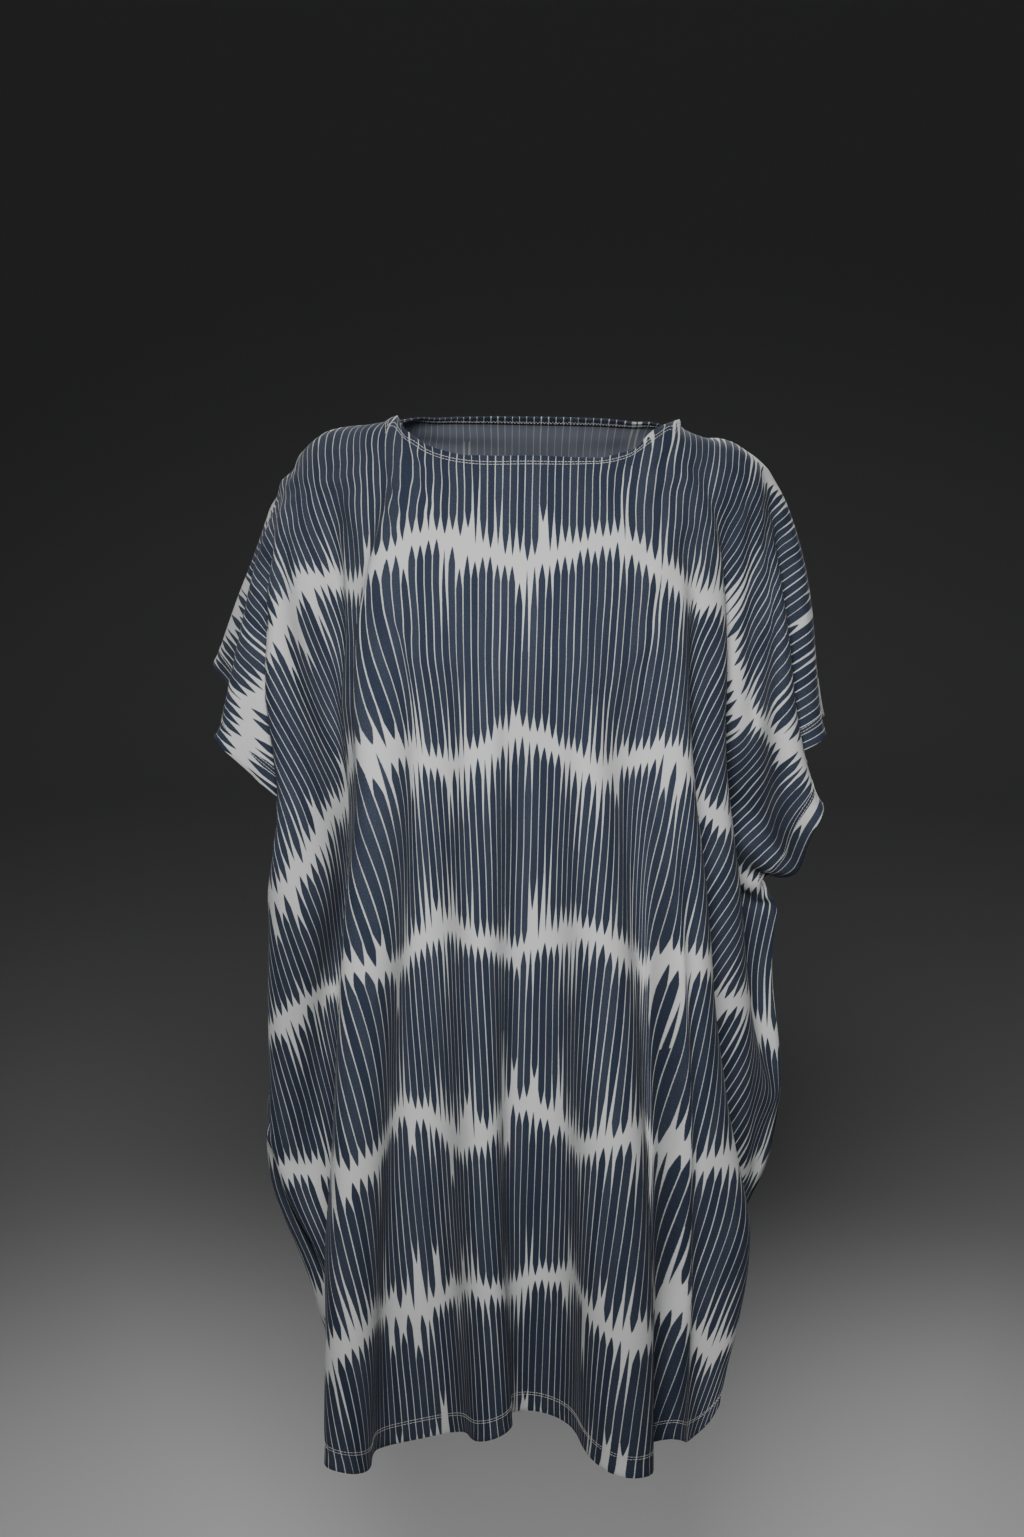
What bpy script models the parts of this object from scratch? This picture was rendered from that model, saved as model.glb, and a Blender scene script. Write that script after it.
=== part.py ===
# Lagenlook dress: a wide pull-on tunic of printed jersey whose short sleeves are the outer ends of
# its front and its back. It hangs as it is worn, hollow, with its neck, sleeves and hem open.
# Metres, +Z up. The wearer faces -Y, so the wearer's right side is at -X. The origin is midway
# between the shoulders, at the level where they carry the cloth.
import math

import bpy
import numpy as np

WALL = 0.0016            # jersey of a panel
HEM_WALL = 0.0012        # cloth turned in at an edge
GAP = 0.0003             # between pieces that are sewn together
NECK_HALF = 0.118        # half of the neck opening, along the shoulder seam
NECK_DROP = {"front": 0.078, "back": 0.030}
NECK_CLEAR = 0.100       # beyond this the two panels meet along the shoulder seam
NECK_HEM = 0.010
SLEEVE_HEM = 0.020
BOTTOM_HEM = 0.022
CUT_HALF = 0.430         # half of the width that both panels are cut to
SHOULDER_Y = 0.012       # the shoulder seam lies a little behind the origin
ELBOW_Z = -0.32
HIP_Z = -0.60
ARMHOLE_CENTRE_Z = -0.31
ROWS_ABOVE = 9           # rows of faces from the shoulder seam to the level of the underarm
ROWS_BELOW = 8           # rows of faces from there to the bottom hem
BETWEEN_FOLDS = 3        # columns of faces from one fold line to the next
ROW_CROWDING = (1.7, 1.0)   # how closely the rows gather near the seam, over the chest and over an arm
CROWDING_SPAN = (0.15, 0.35)    # where along the seam the first gives way to the second
CHEST_SPAN = (0.16, 0.24)       # where along the seam the chest gives way to the arm
HANG_START = 0.25        # the share of the fall to the elbows after which the folds take over
PATH_STEPS = 60
PATH_CROWDING = 1.5      # how much closer the steps of a path lie near its top
OPENING_ROUNDNESS = 0.8  # below 1 the sleeve opening is squarer than a sine
SMOOTH_BELOW = math.radians(50.0)   # edges that bend less are shaded smooth

# The shoulder seam, from the neck corner over the shoulder and down the upper arm.
# place, distance from the neck's middle, x and z on the right, x and z on the left
SHOULDER_SEAM = (
    ("neck corner", 0.118, -0.108, 0.012, 0.124, -0.002),
    ("shoulder", 0.170, -0.160, 0.004, 0.174, -0.017),
    ("shoulder tip", 0.208, -0.194, -0.014, 0.202, -0.045),
    ("upper arm", 0.285, -0.232, -0.083, 0.226, -0.116),
    ("lower sleeve", 0.360, -0.258, -0.149, 0.248, -0.189),
    ("sleeve end", 0.430, -0.281, -0.214, 0.266, -0.258),
)

# How far the cloth stands forward or back of the shoulder seam as it falls.
# drop below the seam, over the chest, over the back, in front of an arm, behind an arm
FALL = (
    (0.000, 0.000, 0.000, 0.000, 0.000),
    (0.004, 0.027, 0.018, 0.017, 0.014),
    (0.012, 0.050, 0.033, 0.030, 0.026),
    (0.027, 0.072, 0.050, 0.043, 0.038),
    (0.050, 0.092, 0.068, 0.055, 0.048),
    (0.090, 0.112, 0.088, 0.064, 0.056),
    (0.140, 0.129, 0.104, 0.068, 0.060),
    (0.220, 0.146, 0.112, 0.068, 0.060),
)

# Each fold hangs from the shoulder seam as one line: its distance from the neck's middle along the
# seam (negative on the right), then x and y at the elbows, x and y at the hips, x, y and z at the hem.
FRONT_FOLDS = (
    ("underarm ridge", -0.380, -0.205, -0.062, -0.234, -0.042, -0.198, -0.040, -0.876),
    ("side valley", -0.330, -0.186, -0.058, -0.206, -0.050, -0.174, -0.048, -0.900),
    ("side ridge", -0.262, -0.176, -0.090, -0.199, -0.088, -0.174, -0.078, -0.922),
    ("pleat inside", -0.200, -0.147, -0.096, -0.158, -0.082, -0.163, -0.090, -0.933),
    ("pleat edge", -0.150, -0.141, -0.126, -0.160, -0.140, -0.184, -0.148, -0.940),
    ("first flute", -0.100, -0.086, -0.134, -0.092, -0.148, -0.110, -0.160, -0.928),
    ("first hollow", -0.055, -0.045, -0.134, -0.048, -0.130, -0.056, -0.124, -0.884),
    ("middle flute", -0.012, -0.008, -0.137, -0.010, -0.145, -0.008, -0.148, -0.898),
    ("second hollow", 0.026, 0.028, -0.136, 0.028, -0.131, 0.034, -0.124, -0.876),
    ("second flute", 0.066, 0.066, -0.138, 0.064, -0.152, 0.068, -0.164, -0.918),
    ("corner edge", 0.112, 0.105, -0.144, 0.111, -0.168, 0.116, -0.186, -0.950),
    ("corner inside", 0.142, 0.122, -0.112, 0.127, -0.114, 0.128, -0.126, -0.938),
    ("soft ridge", 0.178, 0.145, -0.112, 0.150, -0.114, 0.152, -0.116, -0.915),
    ("soft hollow", 0.225, 0.162, -0.072, 0.168, -0.076, 0.172, -0.076, -0.872),
    ("side edge", 0.285, 0.180, -0.088, 0.200, -0.082, 0.200, -0.066, -0.845),
    ("side inside", 0.335, 0.182, -0.058, 0.198, -0.044, 0.186, -0.036, -0.855),
    ("underarm ridge", 0.385, 0.203, -0.058, 0.224, -0.026, 0.200, -0.016, -0.866),
)
BACK_FOLDS = (
    ("underarm ridge", -0.380, -0.206, 0.064, -0.246, 0.042, -0.200, 0.036, -0.868),
    ("side valley", -0.328, -0.186, 0.064, -0.208, 0.054, -0.174, 0.048, -0.885),
    ("side ridge", -0.268, -0.180, 0.094, -0.210, 0.092, -0.188, 0.086, -0.912),
    ("corner inside", -0.212, -0.164, 0.082, -0.166, 0.070, -0.162, 0.080, -0.925),
    ("corner edge", -0.165, -0.152, 0.116, -0.164, 0.134, -0.174, 0.148, -0.940),
    ("first hollow", -0.112, -0.102, 0.116, -0.108, 0.116, -0.114, 0.118, -0.922),
    ("first flute", -0.055, -0.050, 0.130, -0.056, 0.164, -0.060, 0.182, -0.914),
    ("middle hollow", 0.000, 0.005, 0.120, 0.004, 0.120, 0.004, 0.124, -0.892),
    ("second flute", 0.056, 0.058, 0.124, 0.058, 0.136, 0.062, 0.146, -0.908),
    ("second hollow", 0.110, 0.106, 0.116, 0.108, 0.114, 0.112, 0.118, -0.916),
    ("corner edge", 0.165, 0.152, 0.118, 0.164, 0.146, 0.174, 0.162, -0.936),
    ("corner inside", 0.212, 0.160, 0.080, 0.164, 0.070, 0.162, 0.080, -0.918),
    ("side ridge", 0.270, 0.180, 0.092, 0.212, 0.096, 0.206, 0.094, -0.894),
    ("side valley", 0.328, 0.186, 0.064, 0.210, 0.062, 0.192, 0.060, -0.875),
    ("underarm ridge", 0.384, 0.205, 0.062, 0.236, 0.050, 0.210, 0.046, -0.866),
)

# The cut side edges: a sleeve opening down to the underarm, then the side seam down to the hem.
# side, x and z of the underarm, how early the opening turns in, its bulge in front and behind,
# x and y of the seam at the hips, x, y and z of its end
SIDE_EDGES = (
    ("right", -0.218, -0.395, 0.60, 0.062, 0.060, -0.226, 0.000, -0.184, -0.002, -0.864),
    ("left", 0.218, -0.412, 1.70, 0.060, 0.060, 0.223, 0.016, 0.196, 0.018, -0.868),
)


def seam_point(along):
    """Point of the shoulder seam, with the neck opening bridged by a straight line."""
    right = [(-row[1], row[2], row[3]) for row in reversed(SHOULDER_SEAM)]
    left = [(row[1], row[4], row[5]) for row in SHOULDER_SEAM]
    place, x, z = zip(*(right + left))
    return np.array((np.interp(along, place, x), SHOULDER_Y, np.interp(along, place, z)))


def seam_normal(along):
    """Upward direction square to the shoulder seam, with no lean to the front or the back."""
    run = seam_point(along + 0.01) - seam_point(along - 0.01)
    up = np.array((-run[2], 0.0, run[0]))
    return up / np.linalg.norm(up)


def part_of(value, span):
    """Smooth share, 0 to 1, of the way that a value has gone across a span."""
    t = min(max((value - span[0]) / (span[1] - span[0]), 0.0), 1.0)
    return t * t * (3.0 - 2.0 * t)


def between(folds, along):
    """Row of a fold table at any distance along the seam, on a smooth curve through its rows."""
    place = [row[1] for row in folds]
    last = len(place) - 1
    k = min(max(int(np.searchsorted(place, along)) - 1, 0), last - 1)
    t = (along - place[k]) / (place[k + 1] - place[k])
    here = np.array(folds[k][2:])
    there = np.array(folds[k + 1][2:])
    if t < 0.0 or t > 1.0:
        return here + (there - here) * t
    before = np.array(folds[max(k - 1, 0)][2:])
    after = np.array(folds[min(k + 2, last)][2:])
    width = place[k + 1] - place[k]
    slope_here = (there - before) / (place[k + 1] - place[max(k - 1, 0)]) * width
    slope_there = (after - here) / (place[min(k + 2, last)] - place[k]) * width
    return (here * (1 + 2 * t) * (1 - t) ** 2 + slope_here * t * (1 - t) ** 2
            + there * t * t * (3 - 2 * t) + slope_there * t * t * (t - 1))


def curve_below(z, levels, values):
    """Value at height z on a smooth curve through three levels."""
    upper = (values[1] - values[0]) / (levels[1] - levels[0])
    lower = (values[2] - values[1]) / (levels[2] - levels[1])
    middle = (upper + lower) / 2
    k, first, second = (0, upper, middle) if z > levels[1] else (1, middle, lower)
    span = levels[k + 1] - levels[k]
    t = (z - levels[k]) / span
    return (values[k] * (1 + 2 * t) * (1 - t) ** 2 + first * span * t * (1 - t) ** 2
            + values[k + 1] * t * t * (3 - 2 * t) + second * span * t * t * (t - 1))


def hanging_path(face, along):
    """Points of the cloth from the shoulder seam straight down to the hem."""
    folds = FRONT_FOLDS if face == "front" else BACK_FOLDS
    sign = -1.0 if face == "front" else 1.0
    top = seam_point(along)
    elbow_x, elbow_y, hip_x, hip_y, hem_x, hem_y, hem_z = between(folds, along)
    drop, chest, back, arm_front, arm_back = zip(*FALL)
    body, arm = (chest, arm_front) if face == "front" else (back, arm_back)
    over_arm = part_of(abs(along), CHEST_SPAN)
    full = top[2] - ELBOW_Z
    points = []
    for step in range(PATH_STEPS + 1):
        t = (step / PATH_STEPS) ** PATH_CROWDING
        z = top[2] + (hem_z - top[2]) * t
        fallen = top[2] - z
        if z > ELBOW_Z:
            stand = np.interp(fallen, drop, body)
            stand += (np.interp(fallen, drop, arm) - stand) * over_arm
            hung = part_of(fallen / full, (HANG_START, 1.0))
            y = (1 - hung) * (top[1] + sign * stand) + hung * elbow_y
            x = top[0] + (elbow_x - top[0]) * part_of(fallen, (0.0, full))
        else:
            levels = (ELBOW_Z, HIP_Z, hem_z)
            x = curve_below(z, levels, (elbow_x, hip_x, hem_x))
            y = curve_below(z, levels, (elbow_y, hip_y, hem_y))
        points.append((x, y, z))
    return np.array(points)


def edge_path(face, side):
    """Points of a panel's side edge, and the index of the underarm among them."""
    row = SIDE_EDGES[0] if side < 0 else SIDE_EDGES[1]
    _, arm_x, arm_z, turn, bulge_front, bulge_back, hip_x, hip_y, hem_x, hem_y, hem_z = row
    bulge = -bulge_front if face == "front" else bulge_back
    tip = seam_point(side * CUT_HALF)
    half = PATH_STEPS // 2
    points = []
    for step in range(half + 1):
        t = step / half
        x = tip[0] + (arm_x - tip[0]) * t ** turn
        y = tip[1] * (1 - t) + bulge * math.sin(math.pi * t) ** OPENING_ROUNDNESS
        z = tip[2] + (arm_z - tip[2]) * t
        points.append((x, y, z))
    for step in range(1, half + 1):
        z = arm_z + (hem_z - arm_z) * step / half
        levels = (arm_z, HIP_Z, hem_z)
        points.append((curve_below(z, levels, (arm_x, hip_x, hem_x)),
                       curve_below(z, levels, (0.0, hip_y, hem_y)), z))
    return np.array(points), half


def lengths(points):
    steps = np.linalg.norm(np.diff(points, axis=0), axis=1)
    return np.concatenate(([0.0], np.cumsum(steps)))


def on_path(points, distance):
    run = lengths(points)
    return np.array([np.interp(distance, run, points[:, axis]) for axis in range(3)])


def neck_cut(face, along):
    """How far below the shoulder seam a panel's neck edge is cut."""
    if abs(along) >= NECK_HALF:
        return 0.0
    return NECK_DROP[face] * math.sqrt(1 - (along / NECK_HALF) ** 2)


def columns(folds):
    """Places along the seam of a panel's columns of points, without its two side edges.

    The columns nearest the neck corners are moved onto them.
    """
    rows = [row[1] for row in folds]
    places = []
    for here, there in zip(rows, rows[1:]):
        places += [here + (there - here) * k / BETWEEN_FOLDS for k in range(BETWEEN_FOLDS)]
    places.append(rows[-1])
    for corner in (-NECK_HALF, NECK_HALF):
        nearest = min(range(len(places)), key=lambda k: abs(places[k] - corner))
        places[nearest] = corner
    return places


def rows_of(path, start, armhole, end, crowding):
    """A column's points. A neck hem lies between the first two, and a bottom hem between the last two."""
    first = start + NECK_HEM
    last = end - BOTTOM_HEM
    above = [(k / (ROWS_ABOVE - 1)) ** crowding for k in range(ROWS_ABOVE - 1)]
    distances = [start] + [first + (armhole - first) * share for share in above]
    distances += [armhole + (last - armhole) * k / ROWS_BELOW for k in range(ROWS_BELOW + 1)]
    return [on_path(path, distance) for distance in distances + [end]]


def panel_points(face):
    """Grid of points in the middle of a panel's wall, column by column from right to left."""
    folds = FRONT_FOLDS if face == "front" else BACK_FOLDS
    sign = -1.0 if face == "front" else 1.0
    grid = []
    for along in columns(folds):
        path = hanging_path(face, along)
        run = lengths(path)
        side = SIDE_EDGES[0] if along < 0 else SIDE_EDGES[1]
        level = ARMHOLE_CENTRE_Z + (side[2] - ARMHOLE_CENTRE_Z) * (along / CUT_HALF) ** 2
        armhole = np.interp(-level, -path[:, 2], run)
        over_chest, over_arm = ROW_CROWDING
        crowding = over_chest + (over_arm - over_chest) * part_of(abs(along), CROWDING_SPAN)
        grid.append(rows_of(path, neck_cut(face, along), armhole, run[-1], crowding))
    for side in (-1, 1):
        path, underarm = edge_path(face, side)
        run = lengths(path)
        edge = rows_of(path, 0.0, run[underarm], run[-1], 1.0)
        inner = grid[0] if side < 0 else grid[-1]
        hem_line = []
        for here, there in zip(edge, inner):
            share = min(SLEEVE_HEM / np.linalg.norm(there - here), 0.5)
            hem_line.append(here + (there - here) * share)
        grid = [edge, hem_line] + grid if side < 0 else grid + [hem_line, edge]
    grid = np.array(grid)
    for k, x in enumerate(grid[:, 0, 0]):
        if abs(x) > NECK_CLEAR:
            grid[k, 0, 1] += sign * GAP / 2
    grid[0, ROWS_ABOVE:, 1] += sign * GAP / 2
    grid[-1, ROWS_ABOVE:, 1] += sign * GAP / 2
    return grid


def directions(grid, axis):
    """Direction of a grid's lines at each point, halfway between the steps before and after it."""
    steps = np.diff(grid, axis=axis)
    steps /= np.linalg.norm(steps, axis=2, keepdims=True)
    ends = [(0, 0), (0, 0), (0, 0)]
    ends[axis] = (1, 1)
    steps = np.pad(steps, ends, mode="edge")
    count = grid.shape[axis]
    return np.take(steps, range(count), axis) + np.take(steps, range(1, count + 1), axis)


def panel_normals(face, grid):
    """Outward direction at each point; where panels are sewn together both use the seam's own."""
    across = directions(grid, 0)
    down = directions(grid, 1)
    normals = np.cross(across, down) if face == "back" else np.cross(down, across)
    normals /= np.linalg.norm(normals, axis=2, keepdims=True)
    folds = FRONT_FOLDS if face == "front" else BACK_FOLDS
    places = columns(folds)
    places = [-CUT_HALF, SLEEVE_HEM - CUT_HALF] + places + [CUT_HALF - SLEEVE_HEM, CUT_HALF]
    for k, along in enumerate(places):
        if abs(along) >= NECK_HALF:
            normals[k, 0] = seam_normal(along)
    for k, side in ((0, -1.0), (-1, 1.0)):
        run = np.gradient(grid[k, ROWS_ABOVE:], axis=0)
        out = np.stack((-side * run[:, 2], np.zeros(len(run)), side * run[:, 0]), axis=1)
        normals[k, ROWS_ABOVE:] = out / np.linalg.norm(out, axis=1, keepdims=True)
    return normals


def shell(name, grid, normals, inner, outer, material, ring=False):
    """Closed wall between two distances from a grid of points, as one object."""
    wide, tall = grid.shape[:2]
    verts = [tuple(p) for p in (grid + normals * outer).reshape(-1, 3)]
    verts += [tuple(p) for p in (grid + normals * inner).reshape(-1, 3)]
    middle = grid.reshape(-1, 3)
    back = wide * tall
    spans = wide if ring else wide - 1
    faces = []
    for i in range(spans):
        n = (i + 1) % wide
        for j in range(tall - 1):
            a, b, c, d = i * tall + j, n * tall + j, n * tall + j + 1, i * tall + j + 1
            if np.linalg.norm(middle[a] - middle[c]) > np.linalg.norm(middle[b] - middle[d]):
                a, b, c, d = b, c, d, a
            for p, q, r in ((a, c, b), (a, d, c)):
                faces.append((p, q, r))
                faces.append((back + p, back + r, back + q))
        for j, flip in ((0, False), (tall - 1, True)):
            a, b = i * tall + j, n * tall + j
            rim = (a, b, back + b, back + a)
            faces.append(rim[::-1] if flip else rim)
    if not ring:
        for i, flip in ((0, True), (wide - 1, False)):
            for j in range(tall - 1):
                a, b = i * tall + j, i * tall + j + 1
                rim = (a, b, back + b, back + a)
                faces.append(rim[::-1] if flip else rim)
    mesh = bpy.data.meshes.new(name)
    mesh.from_pydata(verts, [], faces)
    mesh.materials.append(material)
    mesh.shade_smooth()
    mesh.set_sharp_from_angle(angle=SMOOTH_BELOW)
    obj = bpy.data.objects.new(name, mesh)
    bpy.context.scene.collection.objects.link(obj)
    return obj


def cloth(name, colour, roughness):
    material = bpy.data.materials.new(name)
    material.use_nodes = True
    shader = material.node_tree.nodes["Principled BSDF"]
    shader.inputs["Base Color"].default_value = (*colour, 1.0)
    shader.inputs["Roughness"].default_value = roughness
    return material


def neck_ring():
    """Points and directions of the neck hem: along the front's neck edge, then back along the back's."""
    loop = []
    for face, side in (("front", 1), ("back", -1)):
        places, points, normals = PANELS[face]
        inner = [k for k, along in enumerate(places) if abs(along) < NECK_HALF - 0.001]
        loop += [(points[k, :2], normals[k, :2]) for k in inner[::side]]
        corner = places.index(side * NECK_HALF)
        start, beyond = points[corner, 0], points[corner + side, 0]
        over = start + (beyond - start) * (NECK_HEM / np.linalg.norm(beyond - start))
        up = seam_normal(side * NECK_HALF)
        middle = np.array((1.0, 0.0, 1.0))
        seam = np.array((0.0, SHOULDER_Y, 0.0))
        loop.append((np.array((start * middle + seam, over * middle + seam)), np.array((up, up))))
    return np.array([points for points, _ in loop]), np.array([normals for _, normals in loop])


for old in list(bpy.data.objects):
    bpy.data.objects.remove(old, do_unlink=True)

jersey_front = cloth("jersey front", (0.085, 0.115, 0.190), 0.88)
jersey_back = cloth("jersey back", (0.080, 0.108, 0.180), 0.88)
turning = cloth("turned hem", (0.150, 0.155, 0.170), 0.90)

inside = -(WALL / 2 + GAP)
PANELS = {}
grids = {}
for face, material in (("front", jersey_front), ("back", jersey_back)):
    points = panel_points(face)
    normals = panel_normals(face, points)
    places = columns(FRONT_FOLDS if face == "front" else BACK_FOLDS)
    PANELS[face] = (places, points[2:-2], normals[2:-2])
    if face == "back":
        points = points[::-1]
        normals = normals[::-1]
    grids[face] = (points, normals)
    shell(face + "_panel", points, normals, -WALL / 2, WALL / 2, material)
    shell(face + "_hem", points[:, -2:], normals[:, -2:], inside - HEM_WALL, inside, turning)

points, normals = neck_ring()
shell("neck_hem", points, normals, inside - GAP - HEM_WALL, inside - GAP, turning, ring=True)

front_points, front_normals = grids["front"]
back_points, back_normals = grids["back"]
SLEEVE_ENDS = (("sleeve_hem_right", (0, 1), (-1, -2)), ("sleeve_hem_left", (-1, -2), (0, 1)))
for name, front_end, back_end in SLEEVE_ENDS:
    band = []
    lean = []
    for j in range(ROWS_ABOVE - 1, 0, -1):
        band.append([front_points[k, j] for k in front_end])
        lean.append([front_normals[k, j] for k in front_end])
    band.append([(front_points[f, 0] + back_points[b, 0]) / 2 for f, b in zip(front_end, back_end)])
    lean.append([front_normals[k, 0] for k in front_end])
    for j in range(1, ROWS_ABOVE):
        band.append([back_points[k, j] for k in back_end])
        lean.append([back_normals[k, j] for k in back_end])
    band = np.array(band if name.endswith("right") else band[::-1])
    lean = np.array(lean if name.endswith("right") else lean[::-1])
    shell(name, band, lean, inside - GAP - HEM_WALL, inside - GAP, turning)
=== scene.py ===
"""A lagenlook dress in printed jersey, hanging as it does when worn, hollow inside.

The wearer faces -Y, and the origin lies at the middle of the shoulder line. Lengths are in metres, apart
from the tables that say millimetres.
"""
import math

import bmesh
import bpy
import numpy as np
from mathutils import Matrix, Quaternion, Vector


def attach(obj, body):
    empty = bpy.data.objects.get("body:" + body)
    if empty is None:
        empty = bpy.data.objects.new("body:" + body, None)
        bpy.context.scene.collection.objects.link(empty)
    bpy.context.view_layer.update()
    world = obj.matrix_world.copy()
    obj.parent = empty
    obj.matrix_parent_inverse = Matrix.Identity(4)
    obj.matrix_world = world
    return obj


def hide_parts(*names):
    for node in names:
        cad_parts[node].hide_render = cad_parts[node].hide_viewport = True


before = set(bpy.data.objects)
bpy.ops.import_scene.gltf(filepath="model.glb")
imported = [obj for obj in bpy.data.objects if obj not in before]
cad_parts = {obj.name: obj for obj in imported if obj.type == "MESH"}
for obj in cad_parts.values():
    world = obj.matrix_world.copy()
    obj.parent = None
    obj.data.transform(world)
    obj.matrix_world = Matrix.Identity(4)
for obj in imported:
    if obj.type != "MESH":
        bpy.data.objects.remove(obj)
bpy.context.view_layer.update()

scene = bpy.context.scene

# --------------------------------------
# The set: a camera at chest height that looks a little down, a pale floor well below the hem that sweeps
# up all around, and soft studio lights: a narrow one in front, a weak broad one beside it, two behind.

CAMERA_PLACE = (-0.016, -2.600, 0.220)
CAMERA_DOWN = math.radians(11.5)
CAMERA_LENS = 68.04
FLOOR_HEIGHT = -1.380
FLOOR_FLAT = 5.0  # radius of the level part
FLOOR_CURVE = 2.6  # radius of the sweep around it
FLOOR_SPOKES, FLOOR_SWEEP = 96, 12
FLOOR_GREY, FLOOR_ROUGHNESS = (0.60, 0.60, 0.60, 1.0), 0.85
AMBIENT, AMBIENT_STRENGTH = (0.62, 0.63, 0.65, 1.0), 0.045


def in_scene(name, data):
    """A new object in the scene, with this mesh, camera or light."""
    made = bpy.data.objects.new(name, data)
    scene.collection.objects.link(made)
    return made


def principled(name):
    """A new material, with its Principled shader."""
    material = bpy.data.materials.new(name)
    material.use_nodes = True
    return material, material.node_tree.nodes["Principled BSDF"]


camera = in_scene("camera", bpy.data.cameras.new("camera"))
camera.data.sensor_fit = "VERTICAL"
camera.data.sensor_height = 36.0
camera.data.lens = CAMERA_LENS
camera.location = CAMERA_PLACE
camera.rotation_euler = (math.radians(90.0) - CAMERA_DOWN, 0.0, 0.0)
scene.camera = camera

# name, place, what it points at, width, height, watts, how many degrees its light fans out
LIGHTS = (
    ("key", (-0.10, -1.90, 0.74), (0.0, 0.0, -0.38), 0.6, 0.6, 4.1, 50),
    ("fill", (1.90, -1.80, 0.60), (0.0, 0.0, -0.45), 1.4, 1.6, 1.2, 180),
    ("rim", (-1.80, 1.60, 1.20), (0.0, 0.0, -0.45), 1.2, 1.4, 5.0, 70),
    ("back", (1.10, 2.20, 0.90), (0.0, 0.0, -0.45), 1.4, 1.4, 9.0, 70),
)
for name, place, aim, width, height, watts, fan in LIGHTS:
    lamp = bpy.data.lights.new(name, "AREA")
    lamp.shape = "RECTANGLE"
    lamp.size = width
    lamp.size_y = height
    lamp.energy = watts
    lamp.spread = math.radians(fan)
    light = in_scene(name, lamp)
    light.location = place
    light.rotation_euler = (Vector(aim) - Vector(place)).to_track_quat("-Z", "Y").to_euler()

scene.world = bpy.data.worlds.new("studio")
scene.world.use_nodes = True
scene.world.node_tree.nodes["Background"].inputs["Color"].default_value = AMBIENT
scene.world.node_tree.nodes["Background"].inputs["Strength"].default_value = AMBIENT_STRENGTH

profile = [(0.0, FLOOR_HEIGHT), (FLOOR_FLAT, FLOOR_HEIGHT)]
for step in range(1, FLOOR_SWEEP + 1):
    turn = math.pi / 2.0 * step / FLOOR_SWEEP
    profile.append((FLOOR_FLAT + FLOOR_CURVE * math.sin(turn),
                    FLOOR_HEIGHT + FLOOR_CURVE * (1.0 - math.cos(turn))))
floor_points, floor_faces = [], []
for radius, height in profile:
    for step in range(FLOOR_SPOKES):
        turn = 2.0 * math.pi * step / FLOOR_SPOKES
        floor_points.append((radius * math.cos(turn), radius * math.sin(turn), height))
for ring in range(len(profile) - 1):
    for step in range(FLOOR_SPOKES):
        near, following = ring * FLOOR_SPOKES + step, ring * FLOOR_SPOKES + (step + 1) % FLOOR_SPOKES
        floor_faces.append((following, following + FLOOR_SPOKES, near + FLOOR_SPOKES, near))
floor_mesh = bpy.data.meshes.new("floor")
floor_mesh.from_pydata(floor_points, [], floor_faces)
floor_mesh.shade_smooth()
floor_paint, floor_shader = principled("floor_paint")
floor_shader.inputs["Base Color"].default_value = FLOOR_GREY
floor_shader.inputs["Roughness"].default_value = FLOOR_ROUGHNESS
floor_mesh.materials.append(floor_paint)
floor = in_scene("floor", floor_mesh)

# --------------------------------------
# Front and back panel, first part: the cut. Each is one piece of jersey, the full width of the dress
# from sleeve hem to sleeve hem, cut in one with its half of both sleeves. They are sewn to each other
# along the shoulders and, below the armholes, along the sides, whose hem curves up.

SIDE_EDGE = ((0.000, 0.432), (0.330, 0.450), (0.840, 0.500))  # place along the cut, half its width there
SHOULDER_HALF = SIDE_EDGE[0][1]
LENGTH = 1.000
SIDE_LENGTH = 0.840
HEM_SQUARE = 3.0  # how square the corners are where the hem curves up
ARMHOLE = 0.330
NECK_HALF = 0.118
NECK_FRONT = 0.095
NECK_BACK = 0.030
NECK_SQUARE = 2.2  # how square its corners are, an oval being 2
NECK_SPREAD = 0.35  # the share of the length over which the rows make room for the neck
NECK_COLUMNS = 9  # columns from the middle to the neck corner
SIDE_COLUMNS = 24  # columns from there to the sleeve hem
ROWS = 71
COLUMNS = 2 * (NECK_COLUMNS + SIDE_COLUMNS)
ARMHOLE_ROW = math.ceil(ARMHOLE / SIDE_LENGTH * ROWS)  # the row of the underarm
FACES = (-1, 1)  # front, back


def column_top(column):
    """Place along the shoulder line of a column of points, counted from the middle."""
    steps = abs(column)
    if steps <= NECK_COLUMNS:
        across = NECK_HALF * steps / NECK_COLUMNS
    else:
        across = NECK_HALF + (SHOULDER_HALF - NECK_HALF) * (steps - NECK_COLUMNS) / SIDE_COLUMNS
    return math.copysign(across, column) if column else 0.0


def half_width(v):
    """Half the width of a panel at this place along the cut."""
    return np.interp(v, *zip(*SIDE_EDGE))


def fanned(top, v):
    """Place across the cut of a column that starts at this place on the shoulder line."""
    spread = (half_width(v) - NECK_HALF) / (SHOULDER_HALF - NECK_HALF)
    along_shoulder = np.sign(top) * (NECK_HALF + (np.abs(top) - NECK_HALF) * spread)
    return np.where(np.abs(top) > NECK_HALF, along_shoulder, top)


def unfanned(u, v):
    """Place on the shoulder line where the column through this place of the cut starts."""
    spread = (half_width(v) - NECK_HALF) / (SHOULDER_HALF - NECK_HALF)
    return np.where(np.abs(u) > NECK_HALF, np.sign(u) * (NECK_HALF + (np.abs(u) - NECK_HALF) / spread), u)


def length_at(top):
    """Shoulder line to hem along a column."""
    return SIDE_LENGTH + (LENGTH - SIDE_LENGTH) * (1.0 - abs(top / SHOULDER_HALF) ** HEM_SQUARE)


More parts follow.
